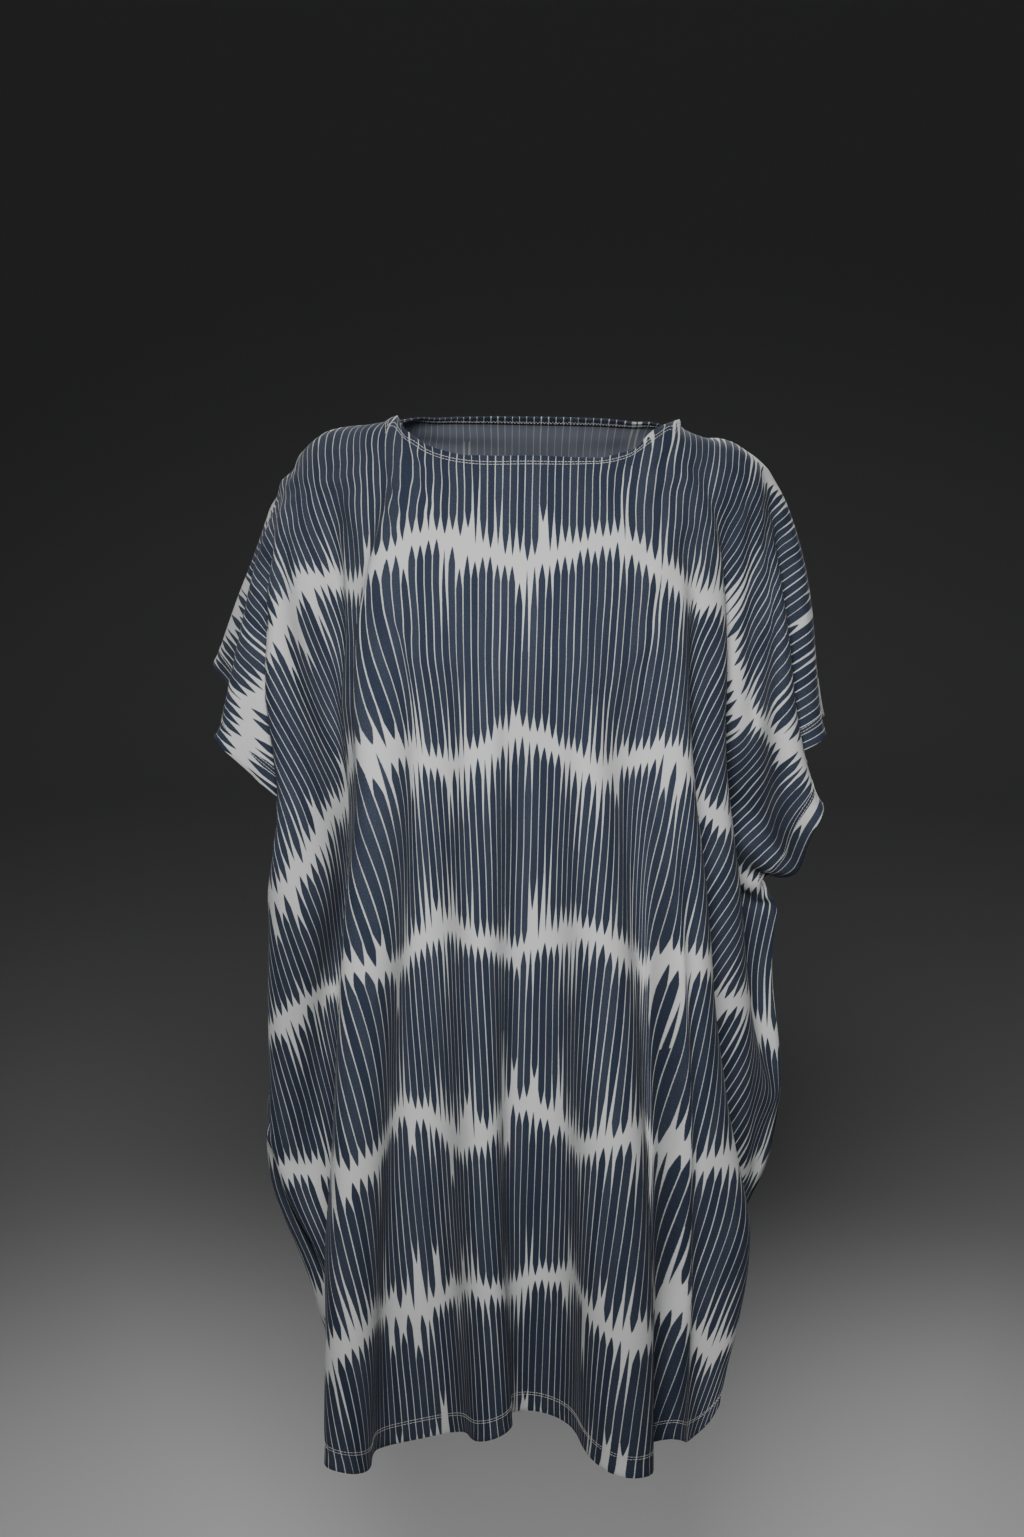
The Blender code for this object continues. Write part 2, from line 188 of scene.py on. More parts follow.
def neck_at(u, face):
    """How far below the shoulder line the neck edge is at this place across the cut."""
    depth = NECK_FRONT if face < 0 else NECK_BACK
    share = abs(u) / NECK_HALF
    return depth * math.sqrt(1.0 - share ** NECK_SQUARE) if share < 1.0 else 0.0


def row_v(top, row, face):
    """Place along the cut of a row in a column."""
    share = row / ROWS
    neck = neck_at(top, face)
    if neck > 0.0 and share < NECK_SPREAD:
        return neck + (length_at(top) * NECK_SPREAD - neck) * share / NECK_SPREAD
    return length_at(top) * share


# The cloth starts out held up wide in two rounded sheets with the arms out, and shallow folds laid in.
# place across, half width of the fold, height in START_FOLD_UNIT
FRONT_START_FOLDS = (
    (-0.185, 0.030, 2.4), (-0.130, 0.030, -1.0), (-0.050, 0.040, -0.5), (-0.010, 0.020, 0.8),
    (0.040, 0.025, -1.0), (0.105, 0.030, 3.0), (0.165, 0.022, -1.6), (0.210, 0.026, 1.0),
    (-0.235, 0.025, -1.6), (-0.280, 0.025, 1.4), (0.260, 0.022, -1.2), (0.300, 0.025, 1.0),
)
BACK_START_FOLDS = (
    (-0.190, 0.028, 2.0), (-0.140, 0.025, -1.2), (-0.060, 0.030, 1.6), (0.000, 0.030, -1.0),
    (0.070, 0.030, 1.4), (0.120, 0.020, -0.8), (0.180, 0.026, 2.2), (0.225, 0.022, -1.4),
    (-0.235, 0.022, -1.2),
)
START_FOLD_UNIT = 0.010
# where the body gives way to the narrower sleeve: front right, front left, back right, back left
START_TURN = {(-1, -1): 0.22, (-1, 1): 0.15, (1, -1): 0.17, (1, 1): 0.21}
START_TURN_SOFT = 0.022
START_BODY_HALF, START_SLEEVE_HALF = 0.130, 0.062  # front to back, halved
START_SLEEVE_CLOSED = 0.10  # how far below the armhole the sleeve's depth has run out
START_HEIGHT = 0.03
START_TOP_HALF, START_TOP_FALL = 0.2, 0.06  # half the level part of the top, and the fall beside it
START_EDGE = 0.985  # beyond this share of the width the two sheets meet
START_FOLDS_FROM, START_FOLDS_GROW = 0.12, 0.3
START_SHIFT = 0.009


def start_place(u, v, face):
    """Where a point of the cut is before the arms are lowered."""
    side = 1 if u > 0 else -1
    half = START_SLEEVE_HALF * (1.0 if v < ARMHOLE else max(0.0, 1.0 - (v - ARMHOLE) / START_SLEEVE_CLOSED))
    turn = max(-30.0, min(30.0, (abs(u) - START_TURN[face, side]) / START_TURN_SOFT))
    half += (START_BODY_HALF - half) / (1.0 + math.exp(turn))
    top = START_HEIGHT
    if abs(u) >= START_TOP_HALF:
        top = START_HEIGHT * max(0.0, 1.0 - (abs(u) - START_TOP_HALF) / START_TOP_FALL)
    arc = math.pi / 2.0 * half
    if v < arc:
        y = half * math.sin(v / half)
        z = top - half * (1.0 - math.cos(v / half))
    else:
        y = half
        z = top - half - (v - arc)
    if v > ARMHOLE and abs(u) > START_EDGE * half_width(v):
        y = 0.0
    growing = min(1.0, max(0.0, (v - START_FOLDS_FROM) / START_FOLDS_GROW))
    for middle, width, height in FRONT_START_FOLDS if face < 0 else BACK_START_FOLDS:
        y += START_FOLD_UNIT * height * growing * math.exp(-((u - middle) / width) ** 2)
    return u + START_SHIFT, face * y, z


start, cut, quads, quad_faces = [], [], [], []
numbers = {}


def cloth_vertex(column, row, face):
    """Number of the vertex there. The two panels share theirs along the shoulder and side seams."""
    top = column_top(column)
    v = row_v(top, row, face)
    u = float(fanned(top, v))
    name = (column, row, face)
    if row == 0 and abs(top) >= NECK_HALF:
        name = ("shoulder", column)
    if abs(column) == COLUMNS // 2 and row >= ARMHOLE_ROW:
        name = ("side", column, row)
    if name not in numbers:
        numbers[name] = len(start)
        start.append(start_place(u, v, face))
        cut.append((u, v))
    return numbers[name]


for face in FACES:
    for column in range(-COLUMNS // 2, COLUMNS // 2):
        for row in range(ROWS):
            quad = [cloth_vertex(column, row, face), cloth_vertex(column + 1, row, face),
                    cloth_vertex(column + 1, row + 1, face), cloth_vertex(column, row + 1, face)]
            quads.append(quad[::-1] if face < 0 else quad)
            quad_faces.append(face)
grid = {face: np.array([[cloth_vertex(column, row, face) for row in range(ROWS + 1)]
                        for column in range(-COLUMNS // 2, COLUMNS // 2 + 1)]) for face in FACES}
cut = np.array(cut)
face_of = np.zeros(len(start))
for quad, face in zip(quads, quad_faces):
    for vertex in quad:
        face_of[vertex] += face

# --------------------------------------
# Front and back panel, second part: the drape. The cloth is simulated over a smooth hidden figure that
# lowers its arms and is removed again. A few soft holds lead the main folds to where they lie.

# height, half width, reach forward and reach back, in millimetres
TRUNK = (
    (-750, 100, 70, 90), (-620, 155, 100, 115), (-520, 160, 100, 115), (-400, 125, 90, 85),
    (-320, 125, 95, 85), (-240, 140, 115, 95), (-190, 150, 120, 100), (-130, 160, 105, 105),
    (-80, 165, 80, 100), (-50, 178, 60, 90), (-30, 168, 48, 78), (-12, 148, 43, 68), (2, 118, 40, 60),
    (12, 90, 40, 56), (30, 68, 42, 56), (80, 55, 45, 55),
)
TRUNK_LEAN = math.radians(2.0)
TRUNK_SPOKES, ARM_SPOKES = 48, 24
TRUNK_SQUARE = 0.85  # below 1 its rings are squarer than an oval
# side, how far it is lowered, how far it swings forward
ARMS = ((-1, math.radians(67.0), math.radians(-3.0)), (1, math.radians(73.0), math.radians(8.0)))
ARM_ROOT = (0.162, 0.012, -0.052)
ARM_LENGTH = 0.500
ARM_TOP, ARM_END = 0.040, 0.026  # radii
SETTLED = 90  # the frame by which the cloth hangs still
LOWERING = ((1, 0.0), (8, 0.0), (50, 1.0), (2 * SETTLED, 1.0))  # frame, share of the arms' way down


def ringed(name, rings):
    """A closed object through rings of points."""
    shape = bmesh.new()
    loops = [[shape.verts.new(point) for point in ring] for ring in rings]
    for near, far in zip(loops, loops[1:]):
        for k in range(len(near)):
            shape.faces.new((near[k], near[k - len(near) + 1], far[k - len(near) + 1], far[k]))
    shape.faces.new(loops[0][::-1])
    shape.faces.new(loops[-1])
    bmesh.ops.recalc_face_normals(shape, faces=shape.faces)
    mesh = bpy.data.meshes.new(name)
    shape.to_mesh(mesh)
    shape.free()
    return in_scene(name, mesh)


def trunk_ring(height, half, forward, back):
    """One oval ring of the trunk, a little squared."""
    ring = []
    for k in range(TRUNK_SPOKES):
        turn = 2.0 * math.pi * k / TRUNK_SPOKES
        across, along = math.cos(turn), math.sin(turn)
        reach = back if along > 0 else -forward
        ring.append((half * math.copysign(abs(across) ** TRUNK_SQUARE, across),
                     reach * abs(along) ** TRUNK_SQUARE, height))
    return ring


def arm_rings():
    """Rings of an arm that points along X from its root, with round ends."""
    profile = []
    for k in range(6):
        turn = math.pi / 2.0 * (k / 5 - 1.0)
        profile.append((ARM_TOP * math.sin(turn), max(ARM_TOP * math.cos(turn), 1e-4)))
    for k in range(1, 12):
        profile.append((ARM_LENGTH * k / 12, ARM_TOP + (ARM_END - ARM_TOP) * k / 12))
    for k in range(6):
        turn = math.pi / 2.0 * k / 5
        profile.append((ARM_LENGTH + ARM_END * math.sin(turn), max(ARM_END * math.cos(turn), 1e-4)))
    turns = [2.0 * math.pi * k / ARM_SPOKES for k in range(ARM_SPOKES)]
    return [[(x, radius * math.cos(turn), radius * math.sin(turn)) for turn in turns]
            for x, radius in profile]


trunk = ringed("figure_trunk", [trunk_ring(*(number / 1000.0 for number in row)) for row in TRUNK])
trunk.rotation_euler = (0.0, TRUNK_LEAN, 0.0)
figure = [trunk]
for side, lowered, forward in ARMS:
    arm = ringed(f"figure_arm_{'left' if side > 0 else 'right'}", arm_rings())
    root_x, root_y, root_z = ARM_ROOT
    arm.location = (side * root_x, root_y, root_z - side * root_x * math.sin(TRUNK_LEAN))
    arm.rotation_mode = "QUATERNION"
    outward = Quaternion((0, 0, 1), 0.0 if side > 0 else math.pi)
    for moment, share in LOWERING:
        arm.rotation_quaternion = (Quaternion((1, 0, 0), forward * lowered * share / math.radians(70.0))
                                   @ Quaternion((0, 1, 0), side * lowered * share) @ outward)
        arm.keyframe_insert("rotation_quaternion", frame=moment)
    figure.append(arm)
for part in figure:
    part.modifiers.new("touch", "COLLISION")
    part.collision.thickness_outer = 0.006
    part.collision.thickness_inner = 0.020
    part.collision.cloth_friction = 8.0

# Holds: face, strength, then rows of millimetres: place across and along the cut, and where it comes to hang.
FOLD_HOLDS = (
    (-1, 0.160, ((-150, 388, -132, -128, -340), (-165, 548, -147, -133, -490),
        (-178, 668, -159, -137, -610), (-195, 868, -182, -142, -810), (-208, 983, -203, -150, -935))),
    (-1, 0.112, ((-192, 428, -143, -92, -360), (-206, 568, -147, -92, -490), (-218, 688, -153, -96, -610),
        (-234, 868, -168, -104, -800), (-246, 958, -180, -110, -900))),
    (-1, 0.064, ((-250, 368, -175, -85, -340), (-260, 488, -188, -75, -450))),
    (-1, 0.080, ((-300, 448, -205, -35, -400), (-300, 628, -225, -30, -580), (-300, 748, -220, -30, -700),
        (-300, 848, -190, -40, -800))),
    (-1, 0.064, ((-60, 528, -50, -127, -460), (-68, 988, -60, -124, -900))),
    (-1, 0.064, ((-8, 528, -6, -140, -460), (-10, 988, -8, -150, -910))),
    (-1, 0.064, ((38, 528, 34, -128, -460), (42, 988, 36, -126, -900))),
    (-1, 0.064, ((85, 528, 72, -140, -460), (100, 988, 68, -155, -920))),
    (-1, 0.160, ((116, 408, 103, -140, -340), (124, 528, 106, -146, -460), (136, 678, 108, -152, -610),
        (150, 848, 109, -160, -780), (160, 993, 112, -166, -945))),
    (-1, 0.160, ((150, 528, 117, -118, -450), (165, 678, 118, -118, -600), (182, 848, 120, -124, -770),
        (194, 978, 124, -130, -920))),
    (-1, 0.112, ((185, 528, 140, -126, -450), (200, 678, 142, -126, -600), (216, 828, 145, -130, -750),
        (228, 958, 148, -134, -880))),
    (-1, 0.080, ((222, 528, 158, -100, -450), (236, 678, 160, -100, -600), (252, 828, 160, -98, -750))),
    (-1, 0.112, ((262, 448, 178, -88, -360), (270, 578, 188, -84, -500), (276, 728, 196, -72, -660),
        (285, 828, 192, -64, -760))),
    (-1, 0.080, ((310, 478, 205, -30, -430), (310, 628, 215, -30, -580), (310, 748, 205, -30, -700))),
    (1, 0.064, ((-340, 460, -218, 40, -450), (-340, 610, -236, 35, -600), (-340, 690, -234, 30, -680),
        (-340, 790, -200, 25, -780))),
    (1, 0.064, ((340, 460, 212, 40, -450), (340, 610, 222, 35, -600), (340, 690, 222, 30, -680),
        (340, 790, 194, 25, -780))),
)
HOLD_REACH = 0.0072  # a column this near to a hold's line is held
# place across and along the cut, where it comes to hang, strength
POINT_HOLDS = (
    (-0.118, 0.000, -0.107, 0.012, 0.008, 0.64),
    (0.118, 0.000, 0.124, 0.012, -0.006, 0.64),
    (0.000, 0.095, 0.006, -0.060, -0.024, 0.24),
)
# side, then rows of share of the way from the sleeve's tip to the underarm, and where the edge hangs
MOUTH_HOLDS = (
    (-1, ((0.00, -0.282, 0.005, -0.228), (0.35, -0.264, -0.060, -0.250), (0.62, -0.256, -0.080, -0.290),
          (0.85, -0.240, -0.042, -0.345), (1.00, -0.220, 0.005, -0.395))),
    (1, ((0.00, 0.265, 0.040, -0.248), (0.35, 0.266, -0.045, -0.275), (0.62, 0.258, -0.078, -0.315),
          (0.85, 0.243, -0.045, -0.365), (1.00, 0.220, 0.005, -0.412))),
)
MOUTH_HOLD = 0.096
MOUTH_MIDDLE = 0.012  # behind this the edge mirrors the front's
# rows of place along the shoulder line, and where the sleeve's ridge lies there on the arm
SHOULDER_HOLDS = (
    ((-0.432, -0.282, 0.005, -0.228), (-0.215, -0.197, 0.010, -0.028)),
    ((0.210, 0.200, 0.012, -0.036), (0.432, 0.265, 0.040, -0.248)),
)
SHOULDER_HOLD = 0.150

held = np.array(start)
strength = np.zeros(len(start))
across, along = cut[:, 0], cut[:, 1]
for face, hold, rows in FOLD_HOLDS:
    line = np.array(rows) / 1000.0
    for k in range(len(start)):
        if face_of[k] * face < 0 or along[k] < line[0, 1] - 0.01:
            continue
        if abs(across[k] - np.interp(along[k], line[:, 1], line[:, 0])) < HOLD_REACH:
            held[k] = [np.interp(along[k], line[:, 1], line[:, c]) for c in (2, 3, 4)]
            held[k, 2] -= max(0.0, along[k] - line[-1, 1])
            strength[k] = hold
for u, v, x, y, z, hold in POINT_HOLDS:
    nearest = int(np.argmin(np.hypot(across - u, along - v) + np.where(face_of > 0, 9.0, 0.0)))
    held[nearest] = (x, y, z)
    strength[nearest] = hold
for side, rows in MOUTH_HOLDS:
    share, *reach = np.array(rows).T
    column = 0 if side < 0 else COLUMNS
    for face in FACES:
        for vertex in grid[face][column, :ARMHOLE_ROW + 1]:
            x, y, z = (np.interp(along[vertex] / ARMHOLE, share, place) for place in reach)
            if face_of[vertex] >= 0:
                y = 2.0 * MOUTH_MIDDLE - y
            held[vertex] = (x, y, z)
            strength[vertex] = MOUTH_HOLD
for rows in SHOULDER_HOLDS:
    line = np.array(rows)
    for vertex in grid[-1][:, 0]:
        if line[0, 0] - HOLD_REACH < across[vertex] < line[1, 0] + HOLD_REACH:
            held[vertex] = [np.interp(across[vertex], line[:, 0], line[:, c]) for c in (1, 2, 3)]
            strength[vertex] = SHOULDER_HOLD

cloth_mesh = bpy.data.meshes.new("cloth")
cloth_mesh.from_pydata(start, [], quads)
cloth = in_scene("cloth", cloth_mesh)
cloth.shape_key_add(name="Start")
flat_key = cloth.shape_key_add(name="Flat")
flat_key.data.foreach_set("co", np.stack([across, across * 0, -along], 1).astype(np.float32).ravel())
held_key = cloth.shape_key_add(name="Held")
held_key.data.foreach_set("co", held.astype(np.float32).ravel())
for moment, share in LOWERING:
    held_key.value = share
    held_key.keyframe_insert("value", frame=moment)
held_group = cloth.vertex_groups.new(name="held")
for k in np.nonzero(strength)[0]:
    held_group.add([int(k)], float(strength[k]), "REPLACE")

cloth.modifiers.new("shading", "WEIGHTED_NORMAL")  # the flat lengths count only behind another modifier
fall = cloth.modifiers.new("fall", "CLOTH")
for settings, table in (
        (fall.settings, (
            ("quality", 8), ("mass", 0.3), ("air_damping", 1.5), ("tension_stiffness", 60.0),
            ("compression_stiffness", 40.0), ("shear_stiffness", 8.0), ("bending_stiffness", 3.0),
            ("tension_damping", 5.0), ("compression_damping", 5.0), ("shear_damping", 3.0),
            ("bending_damping", 0.3), ("rest_shape_key", flat_key), ("vertex_group_mass", "held"),
            ("pin_stiffness", 1.0))),
        (fall.collision_settings, (
            ("collision_quality", 3), ("distance_min", 0.004), ("use_self_collision", True),
            ("self_distance_min", 0.004), ("self_friction", 3.0)))):
    for name, value in table:
        setattr(settings, name, value)
fall.point_cache.frame_start = 1
fall.point_cache.frame_end = SETTLED
last_frame = scene.frame_end
scene.frame_end = SETTLED
for moment in range(1, SETTLED + 1):
    scene.frame_set(moment)
draped = cloth.evaluated_get(bpy.context.evaluated_depsgraph_get()).to_mesh()
fallen = np.array([vertex.co for vertex in draped.vertices])
for part in (cloth, *figure):
    bpy.data.objects.remove(part)
for action in list(bpy.data.actions):
    bpy.data.actions.remove(action)
scene.frame_set(1)
scene.frame_end = last_frame

# The sides are then eased: side, and rows of height, how far out, and how far up, in millimetres.
SIDE_EASE = (
    (-1, ((-80, 0, 0), (-220, -12, -10), (-300, -34, -20), (-380, -36, -40), (-500, -24, -10),
        (-620, -16, 0), (-720, -4, 0), (-820, -14, 12), (-950, -10, 10))),
    (1, ((-60, 0, 0), (-130, -12, -12), (-220, -26, -46), (-300, -24, -34), (-380, -8, -40),
        (-500, -6, -12), (-620, 14, 0), (-720, 34, 12), (-820, 4, 34), (-900, -26, 66), (-960, -54, 96))),
)
EASE_FROM, EASE_FULL = 0.110, 0.250  # from the middle to where it starts and where it is whole
EASE_DEEPER = 0.5  # what is eased in goes this share deeper
EASE_MIDDLE, EASE_TURN = 0.01, 0.03  # where front gives way to back, and how softly
EASE_BLEND = 17  # levels, 5 mm apart, over which the rows run into each other
levels = np.linspace(0.10, -1.05, 231)
blend = np.hanning(EASE_BLEND)
blend /= blend.sum()
for side, rows in SIDE_EASE:
    height, *moves = np.array(rows).T / 1000.0
    out, up = (np.convolve(np.pad(np.interp(-levels, -height, move), EASE_BLEND // 2, "edge"), blend, "valid")
               for move in moves)
    share = np.clip((side * fallen[:, 0] - EASE_FROM) / (EASE_FULL - EASE_FROM), 0.0, 1.0)
    share *= share * (3.0 - 2.0 * share)
    eased_out = share * np.interp(-fallen[:, 2], -levels, out)
    eased_up = share * np.interp(-fallen[:, 2], -levels, up)
    behind = np.tanh((fallen[:, 1] - EASE_MIDDLE) / EASE_TURN)
    fallen += np.stack([side * eased_out, -EASE_DEEPER * eased_out * behind, eased_up], 1)
# Then the neck edge and the middle of the front hem: a place, how far it goes, how far around that reaches.
PLACE_EASE = (
    ((0.000, -0.062, -0.036), (0.000, 0.000, 0.018), (0.075, 0.075, 0.075)),
    ((-0.122, 0.028, 0.010), (0.015, 0.000, -0.003), (0.050, 0.050, 0.050)),
    ((0.120, 0.028, 0.005), (0.004, 0.000, -0.003), (0.050, 0.050, 0.050)),
    ((-0.010, -0.150, -0.960), (0.000, 0.000, 0.044), (0.080, 0.110, 0.220)),
)
for place, move, reach in PLACE_EASE:
    near = np.exp(-np.sum(((fallen - place) / reach) ** 2, 1))
    fallen += near[:, None] * np.array(move)

# --------------------------------------
# Front and back panel, third part: the fine surface. The simulated grid is drawn through smooth curves
# three times as fine, each panel is given its thickness, and the two meet in the shoulder and side seams.

FINE = 3  # fine steps for each step of the simulated grid
CLOTH_THICKNESS = 0.0008
NECK_FIRST = COLUMNS // 2 - NECK_COLUMNS
NECK_LAST = COLUMNS // 2 + NECK_COLUMNS
SEAM_DIP = 0.0005  # how far a sewn seam lies below the cloth beside it
CALMED, CALMING = 2, 0.35  # how often and how far the simulation's smallest waves are taken out
RIM_ROUND = 0.8  # how far the rounded edge of the cloth stands out, in half thicknesses


def smooth_steps(count, corners=()):
    """Weights that draw a smooth curve through count points, FINE steps to each, sharp at the corners."""
    places = np.linspace(0.0, count - 1.0, (count - 1) * FINE + 1)
    weights = np.zeros((len(places), count))
    for at, place in enumerate(places):
        k = min(int(place), count - 2)
        f = place - k
        parts = {k - 1: -0.5 * f + f * f - 0.5 * f ** 3, k: 1.0 - 2.5 * f * f + 1.5 * f ** 3,
                 k + 1: 0.5 * f + 2.0 * f * f - 1.5 * f ** 3, k + 2: -0.5 * f * f + 0.5 * f ** 3}
        if k == 0 or k in corners:
            parts[k] += 2.0 * parts[k - 1]
            parts[k + 1] -= parts.pop(k - 1)
        if k + 1 == count - 1 or k + 1 in corners:
            parts[k + 1] += 2.0 * parts[k + 2]
            parts[k] -= parts.pop(k + 2)
        for point, weight in parts.items():
            weights[at, point] += weight
    return weights


def calm(points, times):
    """The grid with its smallest waves taken out and its edges kept."""
    points = points.copy()
    for _ in range(times):
        middle = points[1:-1, 1:-1]
        around = (points[:-2, 1:-1] + points[2:, 1:-1] + points[1:-1, :-2] + points[1:-1, 2:]) / 4.0
        points[1:-1, 1:-1] = middle + CALMING * (around - middle)
    return points


across_steps = smooth_steps(COLUMNS + 1)
down_steps = smooth_steps(ROWS + 1)
neck_steps = smooth_steps(COLUMNS + 1, (NECK_FIRST, NECK_LAST))
armhole_steps = smooth_steps(ROWS + 1, (ARMHOLE_ROW,))


def fine(values):
    """A grid of points or numbers, drawn as finely as the panels are."""
    made = np.einsum("ai,ij...,bj->ab...", across_steps, values, down_steps)
    made[:, 0] = np.tensordot(neck_steps, values[:, 0], 1)
    for side in (0, -1):
        made[side] = np.tensordot(armhole_steps, values[side], 1)
    return made


def unit(vectors):
    """Vectors brought to length one."""
    return vectors / np.maximum(np.linalg.norm(vectors, axis=-1, keepdims=True), 1e-12)


def outward(points, face):
    """Unit normals of a fine grid, pointing out of the dress."""
    return unit(np.cross(np.gradient(points, axis=0), np.gradient(points, axis=1)) * face)


# Main creases laid in: face, half width to the wearer's right and left, then rows of place across,
# height, and how far the ridge stands out there, all in millimetres. A negative ridge is a trough.
CREASES = (
    (-1, 8, 42, ((-100, 13, 0), (-112, -36, 9), (-120, -72, 15), (-136, -147, 19), (-139, -197, 19),
        (-138, -313, 18), (-150, -435, 16), (-158, -540, 12), (-166, -681, 8), (-179, -931, 4))),
    (-1, 12, 24, ((-173, -177, 0), (-166, -234, 6), (-177, -338, 7), (-193, -443, 6), (-202, -550, 4),
        (-208, -644, 0))),
    (-1, 34, 8, ((95, -273, 0), (104, -353, 10), (108, -443, 16), (110, -627, 17), (108, -768, 15),
        (100, -941, 8))),
    (-1, 10, 14, ((125, -304, 0), (127, -403, -14), (130, -587, -24), (130, -776, -24), (127, -902, -15))),
    (-1, 10, 13, ((140, -331, 0), (143, -448, 5), (150, -634, 6), (149, -776, 5), (145, -892, 3))),
    (-1, 24, 9, ((162, -288, 0), (180, -397, 5), (192, -509, 6), (199, -614, 7), (201, -762, 6),
        (197, -835, 0))),
    (-1, 13, 18, ((138, -28, 0), (152, -106, 4), (168, -212, 5), (181, -320, 3), (186, -383, 0))),
    (-1, 12, 14, ((205, -111, 0), (218, -183, 4), (231, -273, 5), (234, -356, 2), (233, -383, 0))),
    (-1, 10, 13, ((-220, -58, 0), (-234, -147, 4), (-239, -237, 6), (-237, -328, 4), (-232, -383, 0))),
    (1, 14, 20, ((-60, -220, 0), (-78, -400, 5), (-90, -700, 6), (-100, -930, 3))),
    (1, 24, 12, ((60, -260, 0), (70, -450, 5), (72, -700, 7), (78, -930, 4))),
    (1, 10, 18, ((-150, -120, 0), (-172, -260, 6), (-190, -420, 3), (-196, -520, 0))),
    (1, 18, 10, ((150, -120, 0), (172, -280, 6), (188, -440, 3), (194, -520, 0))),
)


def creased(points, face):
    """The fine surface with its creases laid in."""
    moved = np.zeros(points.shape[:2])
    for side, right, left, rows in CREASES:
        if side == face:
            path, level, ridge = np.array(rows)[::-1].T / 1000.0
            off = points[..., 0] - np.interp(points[..., 2], level, path)
            height = np.interp(points[..., 2], level, ridge, left=ridge[0], right=0.0)
            moved += height * np.exp(-(off / np.where(off < 0.0, right / 1000.0, left / 1000.0)) ** 2)
    return points + moved[..., None] * outward(points, face)


surface, surface_out, surface_cut = {}, {}, {}
for face in FACES:
    surface[face] = creased(fine(calm(fallen[grid[face]], CALMED)), face)
    surface_cut[face] = fine(cut[grid[face]])
    surface_out[face] = outward(surface[face], face)
shoulder = np.r_[0:NECK_FIRST * FINE + 1, NECK_LAST * FINE:COLUMNS * FINE + 1]
side_rows = np.arange(ARMHOLE_ROW * FINE, ROWS * FINE + 1)
seams = [(shoulder, 0 * shoulder), (0 * side_rows, side_rows), (0 * side_rows + COLUMNS * FINE, side_rows)]
for columns, rows in seams:
    both = unit(surface_out[-1][columns, rows] + surface_out[1][columns, rows])
    for face in FACES:
        surface_out[face][columns, rows] = both
        surface[face][columns, rows] -= SEAM_DIP * both


def shell(name, outer, inner, cut_places):
    """A closed sheet between two grids of points, with its rim rounded and the cut kept as a UV map."""
    columns, rows = outer.shape[:2]
    count = columns * rows
    number = np.arange(count).reshape(columns, rows)
    top = np.stack([number[:-1, :-1], number[:-1, 1:], number[1:, 1:], number[1:, :-1]], -1).reshape(-1, 4)
    edge = np.concatenate([number[:-1, 0], number[-1, :-1], number[:0:-1, -1], number[0, :0:-1]])
    following = np.roll(edge, -1)
    middle = (outer + inner) / 2.0
    rim_start = 2 * count
    rim_of = {int(vertex): rim_start + at for at, vertex in enumerate(edge)}
    rim = np.array([rim_of[int(vertex)] for vertex in edge])
    rim_next = np.roll(rim, -1)
    faces = np.concatenate([
        top, top[:, ::-1] + count,
        np.stack([edge, following, rim_next, rim], 1),
        np.stack([rim, rim_next, following + count, edge + count], 1),
    ])
    flat_middle = middle.reshape(-1, 3)
    inward = np.zeros_like(middle)
    inward[:, 0] += middle[:, 0] - middle[:, 1]
    inward[:, -1] += middle[:, -1] - middle[:, -2]
    inward[0] += middle[0] - middle[1]
    inward[-1] += middle[-1] - middle[-2]
    push = unit(inward.reshape(-1, 3)[edge])
    half = np.linalg.norm((outer - inner).reshape(-1, 3)[edge], axis=1, keepdims=True) / 2.0
    points = np.concatenate([outer.reshape(-1, 3), inner.reshape(-1, 3),
                             flat_middle[edge] + push * half * RIM_ROUND])
    flat_cut = cut_places.reshape(-1, 2)
    cut_all = np.concatenate([flat_cut, flat_cut, flat_cut[edge]])
    mesh = bpy.data.meshes.new(name)
    mesh.vertices.add(len(points))
    mesh.vertices.foreach_set("co", points.astype(np.float32).ravel())
    mesh.loops.add(faces.size)
    mesh.loops.foreach_set("vertex_index", faces.astype(np.int32).ravel())
    mesh.polygons.add(len(faces))
    mesh.polygons.foreach_set("loop_start", np.arange(0, faces.size, 4, dtype=np.int32))
    mesh.polygons.foreach_set("use_smooth", np.ones(len(faces), bool))
    inside = np.zeros(len(faces), np.int32)
    inside[len(top):2 * len(top)] = 1
    mesh.polygons.foreach_set("material_index", inside)
    mesh.update(calc_edges=True)
    mesh.validate()
    layer = mesh.uv_layers.new(name="cut")
    layer.data.foreach_set("uv", cut_all[faces.ravel()].astype(np.float32).ravel())
    return in_scene(name, mesh)


def facing(face, *grids):
    """Grids of a panel, in the order that turns their surface outward on this face."""
    return grids if face < 0 else [values[::-1] for values in grids]


half_thickness = CLOTH_THICKNESS / 2.0
PRINT_SHIFT = {-1: np.array([0.0, 0.0]), 1: np.array([2.314, 1.046])}  # the back is cut further along
PANELS = ((-1, "front_panel"), (1, "back_panel"))
panels = {}
for face, name in PANELS:
    out = surface_out[face] * half_thickness
    points, normals, places = facing(face, surface[face], out, surface_cut[face] + PRINT_SHIFT[face])
    panels[face] = shell(name + "_cloth", points + normals, points - normals, places)

# --------------------------------------
# The jersey: a fine cotton and viscose knit, printed on its right side in navy over off-white. The print
# is a warp-ikat stripe of the usual kind: fine lines along the cloth that thin out to feathered tips
# along mirrored zigzags. The wrong side is unprinted grey-white, and the print shows through faintly.

